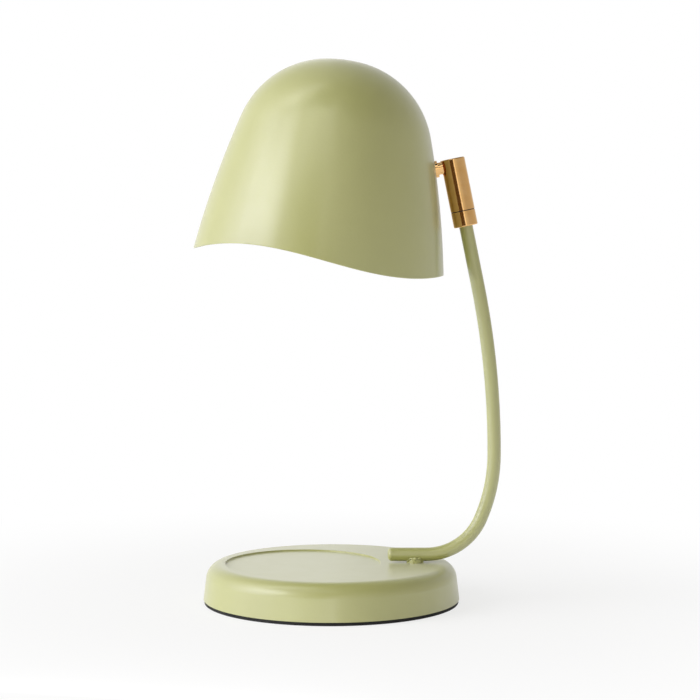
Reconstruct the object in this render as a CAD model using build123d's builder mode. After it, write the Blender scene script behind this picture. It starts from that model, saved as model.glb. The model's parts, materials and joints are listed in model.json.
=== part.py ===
from build123d import *
from math import asin, cos, degrees, radians, sin, sqrt, tan
import os

# Candle warmer lamp: a round weighted base, a bent arm tube, a brass swivel and a
# wavy-rimmed dome shade that holds a reflector bulb over the candle.
# Millimetres, +Z up, origin on the floor under the centre of the base.
# +X points to the arm, and +Y to the back, where the mains cord enters.

# ---------------------------------------------------------------- driving dimensions

# Fits and gaps
screw_gap = 0.05        # radial, a screw in its threaded hole
slip_gap = 0.2          # radial, a screw or stud in a plain hole
run_gap = 0.06          # radial, a spigot turning in its bore
thrust_gap = 0.05       # axial, between faces that turn on each other
seat_gap = 0.3          # around a part laid in a recess
thread_end = 1.0        # thread that shows past a nut
over_cut = 1.0          # how far a cutting tool runs past the face that it opens

# Base drum, pressed from sheet steel
base_radius = 76.0
base_height = 23.0
base_draft = 7.0        # degrees, the side's lean
base_shoulder = 9.0     # outside radius between side and top
base_sheet = 1.5
pan_far_margin = 13.0   # between the shallow candle recess and the base's side, away from the arm
pan_arm_margin = 47.0   # the same towards the arm
pan_depth = 1.0
pan_edge = 0.4          # rounding of the recess's two edges

# Underside
pad_thickness = 2.0
pad_inset = 0.5
pad_hole_margin = 0.6   # around each screw head
plate_thickness = 1.0
standoff_setback = 19.0  # from the base's side
standoff_count = 3
standoff_start = -20.0  # degrees
standoff_radius = 3.5
bottom_screw_grip = 7.0  # thread in each standoff
weight_offset = 15.0    # from the base's centre, away from the arm
weight_radius = 38.0
weight_thickness = 14.0
weight_chamfer = 1.0
weight_screw_spacing = 44.0
weight_screw_grip = 8.0

# Cord inlet and wiring
inlet_angle = 75.0      # degrees from +X, at the back
inlet_height = 9.3
cord_radius = 3.2
grommet_wall = 1.1
grommet_lip = 1.5
grommet_flange = 1.6
clamp_setback = 16.0    # from the base's side
clamp_length = 24.0
clamp_width = 8.0
clamp_corner = 1.5
fixture_height = 11.0   # clamp and terminal block alike
fixture_screw_offset = 8.0
terminal_y = 28.0
terminal_length = 18.0
terminal_width = 20.0
terminal_pitch = 10.0
terminal_bore = 2.2
terminal_sleeve_wall = 0.8
terminal_sleeve_inset = 1.5  # from the block's ends
terminal_screw_span = 10.0
terminal_screw_sink = 1.5
terminal_chamfer = 0.6
driver_slot = 0.5       # width of the slot across a headless screw
driver_slot_depth = 0.8
lead_radius = 1.2
lead_height = 8.0       # above the floor, inside the base
lead_bend = 5.0
lead_tight_bend = 2.5   # inside the stud and the swivel
lead_room = 0.6         # around the leads in the stud

# Arm tube
tube_radius = 4.0
tube_wall = 1.0
foot_setback = 39.9     # from the base's side to the tube's capped end
foot_run = 20.2
foot_gap = 0.8          # between the tube and the base's top
foot_bend_radius = 35.0
foot_bend_angle = 66.7
rise_bend_radius = 98.0
lean_radius = 500.0
lean_angle = 11.6       # the arm's lean at the swivel, from vertical
lean_run = 35.0
plug_dome = 2.7
plug_edge = 2.5
plug_depth = 5.0
stud_setback = 26.3     # from the base's side
stud_wall_step = 0.5    # the stud's spigot is thinner than the tube's bore by this
stud_reach = 2.4        # spigot's end below the tube's centreline
boss_radius = 4.4
boss_reach = 2.0        # boss's top below the tube's centreline

# Brass swivel
bar_radius = 7.15
bar_length = 40.4       # collar, seam and bar together
collar_length = 9.0
socket_depth = 5.5
seam = 0.5
spigot_radius = 4.5
spigot_bore = 2.2
spigot_length = 18.0    # above the seam
dog_height = 15.3       # retaining screw above the seam
dog_radius = 1.0
dog_length = 0.8
dog_gap = 0.1           # around a dog point in its groove
groove_depth = 1.0
swing_limit = 150.0     # degrees each way
stop_margin = 1.0       # degrees between each limit and the groove's end
grub_sink = 0.3         # below the bar's side
grub_socket = 1.2
bar_edge = 0.8
collar_edge = 0.6
lead_bore = 2.6
lead_bore_past = 1.8    # above the neck's axis

# Neck between bar and shade
neck_drop = 4.2         # neck axis below the bar's top
neck_radius = 3.6
neck_spigot_radius = 3.0
neck_flange_radius = 4.2
neck_flange = 0.8
neck_gap = 3.8          # from the bar's side to the shade's wall
neck_start = 1.8        # from the bar's axis to the neck's inner end
neck_groove = 4.2       # from the bar's axis to the neck's groove
neck_bore = 1.6
neck_dog_radius = 0.75
neck_groove_depth = 0.8
pivot_screw_sink = 0.2
spot_depth = 0.7
turn_limit = 90.0       # degrees each way
saddle_radius = 5.0
saddle_outer = 1.5
saddle_inner = 1.2

# Shade: crown, shoulder and skirt are three tangent arcs about a leaning axis
shade_lean = 7.3
shade_height = 117.5    # crown above the mean rim
shade_wall = 0.8
crown_radius = 88.6
crown_sweep = 6.0
shoulder_radius = 54.8
shoulder_sweep = 67.0
skirt_radius = 548.0
skirt_sweep = 10.0
neck_below_crown = 56.5  # neck hole in the shade
rim_span = 75.0
rim_far_height = -3.15  # pull points of the wavy rim, from the far side to the arm
rim_far_pull_height = 19.3
rim_near_pull_height = -13.4
rim_near_height = 0.34

# Lamp holder and bulb
strap_thickness = 1.2
strap_width = 14.0
strap_bend = 5.0
strap_below_crown = 32.5
strap_foot_tail = 8.0
strap_margin = 1.0      # past the holder's screw heads
holder_radius = 14.0
holder_height = 19.0
holder_screw_spacing = 18.0
holder_screw_length = 12.0
holder_edge = 1.0
holder_inlet_drop = 6.0
lead_stand_off = 6.0    # past the pivot nut
lead_side = 14.0        # beside the holder
pin_distance = 5.0      # from the bulb's axis, so the two pins stand 10 mm apart
pin_neck_radius = 1.25
pin_head_radius = 2.5
pin_head = 2.4
slot_face = 2.5         # face of the holder that the pin heads hook behind
slot_clearance = 0.35
pin_play = 2.6          # height of the chamber above a hooked pin head
twist_angle = 22.0
bulb_length = 46.0      # face of the holder to the front glass
bulb_radius = 25.0
bulb_base_radius = 10.0
bulb_base_height = 14.0
bulb_base_chamfer = 1.0
bulb_lip = 3.0
bowl_radius = 19.5      # reflector half way up
bowl_height = 18.5      # above the front glass
glass_wall = 1.5
lens_thickness = 2.0
capsule_radius = 4.5
capsule_length = 18.0
capsule_edge = 4.0

# Screws: shank radius, head radius, head height
M25 = 1.25
M3 = 1.5
M3_head = 2.8
M3_head_height = 1.6
M4 = 2.0
M4_head = 3.6
M4_head_height = 1.6
M6 = 3.0
M6_flats = 10.0
M6_nut = 5.0
M6_thin_nut = 3.2
M6_washer_radius = 6.0
M6_washer = 1.0
lock_washer = 0.8
recess_span = 1.1       # cross recess of a pan head, as shares of the head's radius and height
recess_width = 0.3
recess_depth = 0.6

# ---------------------------------------------------------------- derived sizes

draft_slope = tan(radians(base_draft))
pan_radius = base_radius - (pan_far_margin + pan_arm_margin) / 2
pan_x = (pan_far_margin - pan_arm_margin) / 2
weight_x = -weight_offset
standoff_distance = base_radius - standoff_setback
clamp_distance = base_radius - clamp_setback
foot_start = base_radius - foot_setback
foot_end = foot_start + foot_run
stud_x = base_radius - stud_setback
neck_on_shade = shade_height - neck_below_crown
strap_level = shade_height - strap_below_crown
plate_top = pad_thickness + plate_thickness
shell_ceiling = base_height - base_sheet
foot_z = base_height + foot_gap + tube_radius
tube_bore = tube_radius - tube_wall
shade_sweep = crown_sweep + shoulder_sweep

# Arm centreline: foot, bend, rise, lean and the straight run that enters the collar
with BuildLine(Plane.XZ) as arm_foot:
    foot_line = Line((foot_start, foot_z), (foot_end, foot_z))

with BuildLine(Plane.XZ) as arm_rise:
    bend = JernArc(foot_line @ 1, foot_line % 1, foot_bend_radius, foot_bend_angle)
    rise = JernArc(bend @ 1, bend % 1, rise_bend_radius, 90 - foot_bend_angle)
    lean = JernArc(rise @ 1, rise % 1, lean_radius, lean_angle)
    run = Line(lean @ 1, lean @ 1 + (lean % 1) * lean_run)

arm_end = run @ 1
arm_dir = run % 1
toward_shade = Vector(-arm_dir.Z, 0, arm_dir.X)

# Swivel frame: origin at the collar's lower end, z up the bar, x toward the shade
swivel_plane = Plane(origin=arm_end, x_dir=toward_shade, z_dir=arm_dir)
bar_start = collar_length + seam
neck_height = bar_length - neck_drop

# Neck frame: origin on the bar's axis, z toward the shade, y up the bar
neck_origin = arm_end + arm_dir * neck_height
neck_plane = Plane(origin=neck_origin, x_dir=(0, -1, 0), z_dir=toward_shade)
wall_out = bar_radius + neck_gap
shoulder_out = wall_out - saddle_outer
wall_in = wall_out + shade_wall
foot_out = wall_in + saddle_inner
foot_in = foot_out + strap_thickness
nut_seat = foot_in + lock_washer
neck_end = nut_seat + M6_thin_nut + thread_end

# Shade frame: origin on the shade's axis at the mean rim, z up that axis
shade_up = Vector(sin(radians(shade_lean)), 0, cos(radians(shade_lean)))
shade_side = Vector(cos(radians(shade_lean)), 0, -sin(radians(shade_lean)))
shoulder_x = (crown_radius - shoulder_radius) * sin(radians(crown_sweep))
shoulder_y = shade_height - crown_radius + (crown_radius - shoulder_radius) * cos(radians(crown_sweep))
skirt_x = shoulder_x + (shoulder_radius - skirt_radius) * sin(radians(shade_sweep))
skirt_y = shoulder_y + (shoulder_radius - skirt_radius) * cos(radians(shade_sweep))
neck_wall_radius = skirt_x + sqrt(skirt_radius**2 - (neck_on_shade - skirt_y) ** 2)
wall_point = neck_origin + toward_shade * wall_out
shade_origin = wall_point - shade_side * neck_wall_radius - shade_up * neck_on_shade
shade_plane = Plane(origin=shade_origin, x_dir=shade_side, z_dir=shade_up)
shade_section = Plane(origin=shade_origin, x_dir=shade_side, z_dir=(0, -1, 0))
shade_axis = Axis(shade_origin, shade_up)
holder_top = strap_level - strap_thickness / 2
holder_face = holder_top - holder_height
bulb_top = holder_face - seat_gap
bulb_face = bulb_top - bulb_length


def drum_outline(inset):
    """Half section of the drum: flat top, round shoulder, leaning side, closed on the axis."""
    foot = base_radius - inset / cos(radians(base_draft))
    top = base_height - inset
    lean_in = (top - pad_thickness) * draft_slope
    outline = FilletPolyline(
        (0, top), (foot - lean_in, top), (foot, pad_thickness), radius=base_shoulder - inset
    )
    Polyline(outline @ 1, (0, pad_thickness), (0, top))


def dome(inset, mode=Mode.ADD):
    """Solid of the shade's form, moved inward by inset: crown, shoulder and skirt arcs, revolved."""
    with BuildSketch(shade_section) as half:
        with BuildLine():
            crown = JernArc((0, shade_height - inset), (1, 0), crown_radius - inset, -crown_sweep)
            shoulder = JernArc(crown @ 1, crown % 1, shoulder_radius - inset, -shoulder_sweep)
            skirt = JernArc(shoulder @ 1, shoulder % 1, skirt_radius - inset, -skirt_sweep)
            Polyline(skirt @ 1, (0, (skirt @ 1).Y), (0, shade_height - inset))
        make_face()
    revolve(half.sketch, axis=shade_axis, mode=mode)


def rod(plane, low, high, radius, mode=Mode.ADD):
    """Round bar along the plane's normal, between two distances from its origin."""
    with BuildSketch(plane.offset(low)) as section:
        Circle(radius)
    extrude(section.sketch, amount=high - low, mode=mode)


def at(plane, x, y):
    """The plane, moved sideways to a point of its own."""
    return Plane(origin=plane.from_local_coords((x, y, 0)), x_dir=plane.x_dir, z_dir=plane.z_dir)


def hex_nut(plane, low, height, flats, bore):
    """Hexagon nut, lowest face at a height above the plane."""
    with BuildSketch(plane.offset(low)) as hexagon:
        RegularPolygon(flats / 2, 6, major_radius=False)
        Circle(bore, mode=Mode.SUBTRACT)
    extrude(hexagon.sketch, amount=height)


def pan_head_screw(plane, head_seat, length, shank, head, head_height):
    """Screw driven up the plane's normal: rounded head below the seat, cross recess in it."""
    rod(plane, head_seat - head_height, head_seat, head)
    rod(plane, head_seat, head_seat + length, shank)
    with BuildSketch(plane.offset(head_seat - head_height)) as recess:
        Rectangle(head * recess_span, head * recess_width)
        Rectangle(head * recess_width, head * recess_span)
    extrude(recess.sketch, amount=head_height * recess_depth, mode=Mode.SUBTRACT)


# ---------------------------------------------------------------- base

inlet_dir = Vector(cos(radians(inlet_angle)), sin(radians(inlet_angle)), 0)
inlet_side = Vector(-sin(radians(inlet_angle)), cos(radians(inlet_angle)), 0)
inlet_radius = base_radius - (inlet_height - pad_thickness) * draft_slope
inlet_plane = Plane(
    origin=inlet_dir * inlet_radius + Vector(0, 0, inlet_height),
    x_dir=inlet_side,
    z_dir=inlet_dir * cos(radians(base_draft)) + Vector(0, 0, sin(radians(base_draft))),
)
grommet_neck = cord_radius + grommet_wall
standoffs = PolarLocations(standoff_distance, standoff_count, start_angle=standoff_start)
bottom_screw_length = plate_thickness + bottom_screw_grip
weight_screw_length = plate_thickness + weight_screw_grip
inlet_through = base_sheet + grommet_flange + over_cut

with BuildPart() as base_shell:
    with BuildSketch(Plane.XZ):
        with BuildLine():
            drum_outline(0)
        make_face()
        with BuildLine():
            drum_outline(base_sheet)
        make_face(mode=Mode.SUBTRACT)
    revolve(axis=Axis.Z)
    with BuildSketch(Plane.XY.offset(shell_ceiling - pan_depth)):
        with Locations((pan_x, 0)):
            Circle(pan_radius + base_sheet)
    extrude(amount=pan_depth)
    with BuildSketch(Plane.XY.offset(plate_top)):
        with standoffs:
            Circle(standoff_radius)
    extrude(amount=shell_ceiling - plate_top)
    rod(at(Plane.XY, pan_x, 0), base_height - pan_depth, base_height, pan_radius, Mode.SUBTRACT)
    pan_edges = base_shell.edges().filter_by(GeomType.CIRCLE)
    fillet([edge for edge in pan_edges if abs(edge.radius - pan_radius) < run_gap], pan_edge)
    with BuildSketch(Plane.XY.offset(plate_top)):
        with standoffs:
            Circle(M3 + screw_gap)
    extrude(amount=bottom_screw_length, mode=Mode.SUBTRACT)
    rod(at(Plane.XY, stud_x, 0), plate_top, base_height, M6 + slip_gap, Mode.SUBTRACT)
    rod(inlet_plane, -inlet_through, inlet_through, grommet_neck, Mode.SUBTRACT)
base_shell.part.label = "base_shell"
export_step(base_shell.part, "parts/base_shell.step")

with BuildPart() as counterweight:
    rod(at(Plane.XY, weight_x, 0), plate_top, plate_top + weight_thickness, weight_radius)
    chamfer(counterweight.edges(), weight_chamfer)
    with BuildSketch(Plane.XY.offset(plate_top)):
        with Locations((weight_x, 0)):
            with GridLocations(weight_screw_spacing, 0, 2, 1):
                Circle(M4 + screw_gap)
    extrude(amount=weight_screw_length, mode=Mode.SUBTRACT)
counterweight.part.label = "counterweight"
export_step(counterweight.part, "parts/counterweight.step")

terminal_plane = at(Plane.XY, stud_x, terminal_y)
clamp_plane = Plane(origin=inlet_dir * clamp_distance, x_dir=inlet_side, z_dir=(0, 0, 1))
fixture_planes = [at(clamp_plane, x, 0) for x in (-fixture_screw_offset, fixture_screw_offset)]
fixture_planes.append(terminal_plane)
weight_screw_xs = [weight_x + side * weight_screw_spacing / 2 for side in (-1, 1)]

with BuildPart() as bottom_plate:
    plate_radius = base_radius - base_sheet / cos(radians(base_draft))
    plate_radius -= plate_thickness * draft_slope + seat_gap
    rod(Plane.XY, pad_thickness, plate_top, plate_radius)
    with BuildSketch(Plane.XY.offset(pad_thickness)):
        with standoffs:
            Circle(M3 + slip_gap)
        with Locations(*[(x, 0) for x in weight_screw_xs]):
            Circle(M4 + slip_gap)
    extrude(amount=plate_thickness, mode=Mode.SUBTRACT)
    for plane in fixture_planes:
        rod(plane, pad_thickness, plate_top, M3 + screw_gap, Mode.SUBTRACT)
bottom_plate.part.label = "bottom_plate"
export_step(bottom_plate.part, "parts/bottom_plate.step")

with BuildPart() as foot_pad:
    with BuildSketch():
        Circle(base_radius - pad_inset)
        with standoffs:
            Circle(M3_head + pad_hole_margin, mode=Mode.SUBTRACT)
        with Locations(*[(x, 0) for x in weight_screw_xs]):
            Circle(M4_head + pad_hole_margin, mode=Mode.SUBTRACT)
    extrude(amount=pad_thickness)
foot_pad.part.label = "foot_pad"
export_step(foot_pad.part, "parts/foot_pad.step")

with BuildPart() as bottom_screws:
    for place in standoffs.local_locations:
        spot = at(Plane.XY, place.position.X, place.position.Y)
        pan_head_screw(spot, pad_thickness, bottom_screw_length, M3, M3_head, M3_head_height)
bottom_screws.part.label = "bottom_screws"
export_step(bottom_screws.part, "parts/bottom_screws.step")

with BuildPart() as weight_screws:
    for x in weight_screw_xs:
        spot = at(Plane.XY, x, 0)
        pan_head_screw(spot, pad_thickness, weight_screw_length, M4, M4_head, M4_head_height)
weight_screws.part.label = "weight_screws"
export_step(weight_screws.part, "parts/weight_screws.step")

with BuildPart() as cord_grommet:
    rod(inlet_plane, -base_sheet / 2, grommet_flange, grommet_neck + grommet_lip)
    flange_edge = cord_grommet.edges().group_by(Axis(inlet_plane.origin, inlet_plane.z_dir))[-1]
    fillet(flange_edge, grommet_flange / 2)
    rod(inlet_plane, -base_sheet - grommet_flange, 0, grommet_neck)
    rod(inlet_plane, -base_sheet - grommet_flange, -base_sheet / 2, grommet_neck + grommet_lip)
    add(base_shell.part, mode=Mode.SUBTRACT)
    rod(inlet_plane, -inlet_through, inlet_through, cord_radius, Mode.SUBTRACT)
cord_grommet.part.label = "cord_grommet"
export_step(cord_grommet.part, "parts/cord_grommet.step")

fixture_top = plate_top + fixture_height

with BuildPart() as cord_clamp:
    with BuildSketch(clamp_plane.offset(plate_top)):
        RectangleRounded(clamp_length, clamp_width, clamp_corner)
    extrude(amount=fixture_height)
    for x in (-fixture_screw_offset, fixture_screw_offset):
        rod(at(clamp_plane, x, 0), plate_top, fixture_top, M3 + slip_gap, Mode.SUBTRACT)
    bore_plane = Plane(origin=(0, 0, inlet_height), x_dir=inlet_side, z_dir=inlet_dir)
    rod(bore_plane, clamp_distance - clamp_width, clamp_distance + clamp_width, cord_radius, Mode.SUBTRACT)
cord_clamp.part.label = "cord_clamp"
export_step(cord_clamp.part, "parts/cord_clamp.step")

terminal_rows = [-terminal_pitch / 2, terminal_pitch / 2]
terminal_start = terminal_y - terminal_length / 2
insert_height = plate_top + fixture_height / 2

with BuildPart() as terminal_block:
    with BuildSketch(terminal_plane.offset(plate_top)):
        Rectangle(terminal_width, terminal_length)
    extrude(amount=fixture_height)
    chamfer(terminal_block.edges().group_by(Axis.Z)[-1], terminal_chamfer)
    rod(terminal_plane, plate_top, fixture_top, M3 + slip_gap, Mode.SUBTRACT)
    for x in terminal_rows:
        bore_plane = Plane(origin=(stud_x + x, terminal_start, insert_height), z_dir=(0, 1, 0))
        rod(bore_plane, 0, terminal_length, terminal_bore, Mode.SUBTRACT)
        for y in (-terminal_screw_span / 2, terminal_screw_span / 2):
            rod(at(terminal_plane, x, y), insert_height, fixture_top, M25 + slip_gap, Mode.SUBTRACT)
terminal_block.part.label = "terminal_block"
export_step(terminal_block.part, "parts/terminal_block.step")

sleeve_start = terminal_sleeve_inset
sleeve_end = terminal_length - terminal_sleeve_inset
sleeve_bore = terminal_bore - terminal_sleeve_wall

with BuildPart() as terminal_inserts:
    for x in terminal_rows:
        bore_plane = Plane(origin=(stud_x + x, terminal_start, insert_height), z_dir=(0, 1, 0))
        rod(bore_plane, sleeve_start, sleeve_end, terminal_bore)
        rod(bore_plane, sleeve_start, sleeve_end, sleeve_bore, Mode.SUBTRACT)
        for y in (-terminal_screw_span / 2, terminal_screw_span / 2):
            rod(at(terminal_plane, x, y), insert_height, fixture_top, M25 + screw_gap, Mode.SUBTRACT)
terminal_inserts.part.label = "terminal_inserts"
export_step(terminal_inserts.part, "parts/terminal_inserts.step")

terminal_screw_top = fixture_top - terminal_screw_sink

with BuildPart() as terminal_screws:
    for x in terminal_rows:
        for y in (-terminal_screw_span / 2, terminal_screw_span / 2):
            spot = at(terminal_plane, x, y)
            rod(spot, insert_height, terminal_screw_top, M25)
            with BuildSketch(spot.offset(terminal_screw_top)):
                Rectangle(2 * M25, driver_slot)
            extrude(amount=-driver_slot_depth, mode=Mode.SUBTRACT)
terminal_screws.part.label = "terminal_screws"
export_step(terminal_screws.part, "parts/terminal_screws.step")

with BuildPart() as fixture_screws:
    for plane in fixture_planes:
        down = Plane(origin=plane.origin, x_dir=plane.x_dir, z_dir=-plane.z_dir)
        length = fixture_height + plate_thickness
        pan_head_screw(down, -fixture_top, length, M3, M3_head, M3_head_height)
fixture_screws.part.label = "fixture_screws"
export_step(fixture_screws.part, "parts/fixture_screws.step")

# ---------------------------------------------------------------- arm

stud_plane = at(Plane.XY, stud_x, 0)
stud_spigot = tube_bore - stud_wall_step
stud_bottom = shell_ceiling - M6_washer - M6_nut - thread_end
stud_top = foot_z - stud_reach
boss_top = foot_z - boss_reach

with BuildPart() as arm_tube:
    with BuildLine() as tube_path:
        add(arm_foot.line)
        add(arm_rise.line)
        Line(arm_end, arm_end + arm_dir * socket_depth)
    with BuildSketch(Plane(origin=tube_path.line @ 0, z_dir=tube_path.line % 0)):
        Circle(tube_radius)
        Circle(tube_bore, mode=Mode.SUBTRACT)
    sweep(path=tube_path.line)
    rod(stud_plane, base_height, foot_z, stud_spigot + screw_gap, Mode.SUBTRACT)
arm_tube.part.label = "arm_tube"
export_step(arm_tube.part, "parts/arm_tube.step")

with BuildPart() as arm_end_plug:
    plug_plane = Plane(origin=(foot_start, 0, foot_z), z_dir=(-1, 0, 0))
    rod(plug_plane, 0, plug_dome, tube_radius)
    fillet(arm_end_plug.edges().group_by(Axis.X)[0], plug_edge)
    rod(plug_plane, -plug_depth, 0, tube_bore - screw_gap)
arm_end_plug.part.label = "arm_end_plug"
export_step(arm_end_plug.part, "parts/arm_end_plug.step")

with BuildPart() as arm_stud:
    rod(stud_plane, base_height, boss_top, boss_radius)
    with BuildSketch(Plane(origin=(0, 0, foot_z), z_dir=(1, 0, 0))):
        Circle(tube_radius)
    extrude(amount=2 * stud_x, mode=Mode.SUBTRACT)
    rod(stud_plane, stud_bottom, base_height, M6)
    rod(stud_plane, base_height, stud_top, stud_spigot)
    rod(stud_plane, stud_bottom, stud_top, lead_radius + lead_room, Mode.SUBTRACT)
arm_stud.part.label = "arm_stud"
export_step(arm_stud.part, "parts/arm_stud.step")

with BuildPart() as arm_washer:
    rod(stud_plane, shell_ceiling - M6_washer, shell_ceiling, M6_washer_radius)
    rod(stud_plane, shell_ceiling - M6_washer, shell_ceiling, M6 + slip_gap, Mode.SUBTRACT)
arm_washer.part.label = "arm_washer"
export_step(arm_washer.part, "parts/arm_washer.step")

with BuildPart() as arm_nut:
    hex_nut(stud_plane, shell_ceiling - M6_washer - M6_nut, M6_nut, M6_flats, M6 + screw_gap)
arm_nut.part.label = "arm_nut"
export_step(arm_nut.part, "parts/arm_nut.step")

# Sleeved leads from the terminal block up through the stud and the tube
lead_end = bar_start + spigot_length / 2

with BuildPart() as arm_lead:
    with BuildLine() as lead_path:
        FilletPolyline(
            (stud_x, terminal_start, lead_height),
            (stud_x, 0, lead_height),
            (stud_x, 0, foot_z),
            (foot_end, 0, foot_z),
            radius=[lead_bend, lead_tight_bend],
        )
        add(arm_rise.line)
        Line(arm_end, arm_end + arm_dir * lead_end)
    with BuildSketch(Plane(origin=lead_path.line @ 0, z_dir=lead_path.line % 0)):
        Circle(lead_radius)
    sweep(path=lead_path.line)
arm_lead.part.label = "arm_lead"
export_step(arm_lead.part, "parts/arm_lead.step")

# ---------------------------------------------------------------- swivel

groove_floor = spigot_radius - groove_depth
dog_level = bar_start + dog_height
dog_half_angle = degrees(asin(dog_radius / groove_floor))
stop_half_angle = 180 - swing_limit - dog_half_angle - stop_margin
screw_face = bar_radius - grub_sink

with BuildPart() as arm_collar:
    rod(swivel_plane, 0, collar_length, bar_radius)
    fillet(arm_collar.edges().group_by(Axis(arm_end, arm_dir))[0], collar_edge)
    rod(swivel_plane, collar_length, bar_start + spigot_length, spigot_radius)
    rod(swivel_plane, 0, socket_depth, tube_radius + screw_gap, Mode.SUBTRACT)
    rod(swivel_plane, 0, bar_start + spigot_length, spigot_bore, Mode.SUBTRACT)
    with BuildSketch(swivel_plane.offset(dog_level - dog_radius - dog_gap)):
        Circle(spigot_radius + over_cut)
        Circle(groove_floor, mode=Mode.SUBTRACT)
        stop_reach = 2 * spigot_radius
        stop_rise = stop_reach * tan(radians(stop_half_angle))
        with BuildLine():
            Polyline((0, 0), (stop_reach, stop_rise), (stop_reach, -stop_rise), (0, 0))
        make_face(mode=Mode.SUBTRACT)
    extrude(amount=2 * (dog_radius + dog_gap), mode=Mode.SUBTRACT)
    grub_plane = Plane(origin=arm_end + arm_dir * (socket_depth / 2), z_dir=(0, 1, 0))
    rod(grub_plane, 0, 2 * bar_radius, M3 + screw_gap, Mode.SUBTRACT)
arm_collar.part.label = "arm_collar"
export_step(arm_collar.part, "parts/arm_collar.step")

with BuildPart() as arm_grub_screw:
    rod(grub_plane, tube_radius + screw_gap, screw_face, M3)
    with BuildSketch(grub_plane.offset(screw_face)):
        RegularPolygon(M3 / 2, 6, major_radius=False)
    extrude(amount=-grub_socket, mode=Mode.SUBTRACT)
arm_grub_screw.part.label = "arm_grub_screw"
export_step(arm_grub_screw.part, "parts/arm_grub_screw.step")

with BuildPart() as swivel_washer:
    rod(swivel_plane, collar_length, bar_start - thrust_gap, bar_radius - seat_gap)
    rod(swivel_plane, collar_length, bar_start, spigot_radius + screw_gap, Mode.SUBTRACT)
swivel_washer.part.label = "swivel_washer"
export_step(swivel_washer.part, "parts/swivel_washer.step")

retainer_plane = Plane(origin=arm_end + arm_dir * dog_level, x_dir=(0, 1, 0), z_dir=-toward_shade)
pivot_plane = Plane(origin=neck_origin + toward_shade * neck_groove, x_dir=arm_dir, z_dir=(0, 1, 0))
pivot_depth = sqrt(bar_radius**2 - neck_groove**2)
spot_face = bar_radius - spot_depth

with BuildPart() as swivel_bar:
    rod(swivel_plane, bar_start, bar_length, bar_radius)
    fillet(swivel_bar.edges().group_by(Axis(arm_end, arm_dir))[-1], bar_edge)
    spigot_room = bar_start + spigot_length + seat_gap
    rod(swivel_plane, bar_start, spigot_room, spigot_radius + run_gap, Mode.SUBTRACT)
    rod(swivel_plane, bar_start, neck_height + lead_bore_past, lead_bore, Mode.SUBTRACT)
    rod(neck_plane, neck_start - seat_gap, bar_radius, neck_spigot_radius + run_gap, Mode.SUBTRACT)
    rod(neck_plane, spot_face, 2 * bar_radius, neck_flange_radius + seat_gap, Mode.SUBTRACT)
    rod(retainer_plane, 0, 2 * bar_radius, M3 + screw_gap, Mode.SUBTRACT)
    rod(pivot_plane, 0, 2 * bar_radius, M25 + screw_gap, Mode.SUBTRACT)
swivel_bar.part.label = "swivel_bar"
export_step(swivel_bar.part, "parts/swivel_bar.step")

with BuildPart() as retaining_screw:
    rod(retainer_plane, spigot_radius + run_gap, screw_face, M3)
    rod(retainer_plane, spigot_radius - dog_length, spigot_radius + run_gap, dog_radius)
    with BuildSketch(retainer_plane.offset(screw_face)):
        RegularPolygon(M3 / 2, 6, major_radius=False)
    extrude(amount=-grub_socket, mode=Mode.SUBTRACT)
retaining_screw.part.label = "retaining_screw"
export_step(retaining_screw.part, "parts/retaining_screw.step")

neck_groove_floor = neck_spigot_radius - neck_groove_depth

with BuildPart() as pivot_screw:
    rod(pivot_plane, neck_spigot_radius + run_gap, pivot_depth - pivot_screw_sink, M25)
    rod(pivot_plane, neck_groove_floor + dog_gap, neck_spigot_radius + run_gap, neck_dog_radius)
pivot_screw.part.label = "pivot_screw"
export_step(pivot_screw.part, "parts/pivot_screw.step")

with BuildPart() as swivel_lead:
    with BuildLine() as swivel_path:
        turn_start = arm_end + arm_dir * (neck_height - lead_tight_bend)
        turn_end = neck_origin + toward_shade * lead_tight_bend
        Line(arm_end + arm_dir * (lead_end + seat_gap), turn_start)
        TangentArc(turn_start, turn_end, tangent=arm_dir)
    with BuildSketch(Plane(origin=swivel_path.line @ 0, z_dir=arm_dir)):
        Circle(lead_radius)
    sweep(path=swivel_path.line)
swivel_lead.part.label = "swivel_lead"
export_step(swivel_lead.part, "parts/swivel_lead.step")

# ---------------------------------------------------------------- shade and its neck

neck_dog_half_angle = degrees(asin(neck_dog_radius / neck_groove_floor))
neck_stop_half_angle = 180 - turn_limit - neck_dog_half_angle - stop_margin

with BuildPart() as pivot_nipple:
    rod(neck_plane, neck_start, spot_face + thrust_gap, neck_spigot_radius)
    rod(neck_plane, spot_face + thrust_gap, shoulder_out, neck_radius)
    rod(neck_plane, spot_face + thrust_gap, spot_face + thrust_gap + neck_flange, neck_flange_radius)
    rod(neck_plane, shoulder_out, neck_end, M6)
    rod(neck_plane, neck_start, neck_end, neck_bore, Mode.SUBTRACT)
    # the groove is open over the turning range; what is left beyond it is the stop
    groove_plane = Plane(
        origin=neck_origin + toward_shade * (neck_groove - neck_dog_radius - dog_gap),
        x_dir=(0, 1, 0),
        z_dir=toward_shade,
    )
    with BuildSketch(groove_plane):
        Circle(neck_spigot_radius + over_cut)
        Circle(neck_groove_floor, mode=Mode.SUBTRACT)
        with BuildLine():
            reach = 2 * neck_radius
            spread = reach * tan(radians(90 - neck_stop_half_angle))
            back = spread + reach
            Polyline((0, 0), (-spread, reach), (-back, reach), (-back, -reach), (-spread, -reach), (0, 0))
        make_face(mode=Mode.SUBTRACT)
    extrude(amount=2 * (neck_dog_radius + dog_gap), mode=Mode.SUBTRACT)
pivot_nipple.part.label = "pivot_nipple"
export_step(pivot_nipple.part, "parts/pivot_nipple.step")

with BuildPart() as shade_form:
    dome(0)

with BuildPart() as shade_hollow:
    dome(shade_wall)

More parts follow.
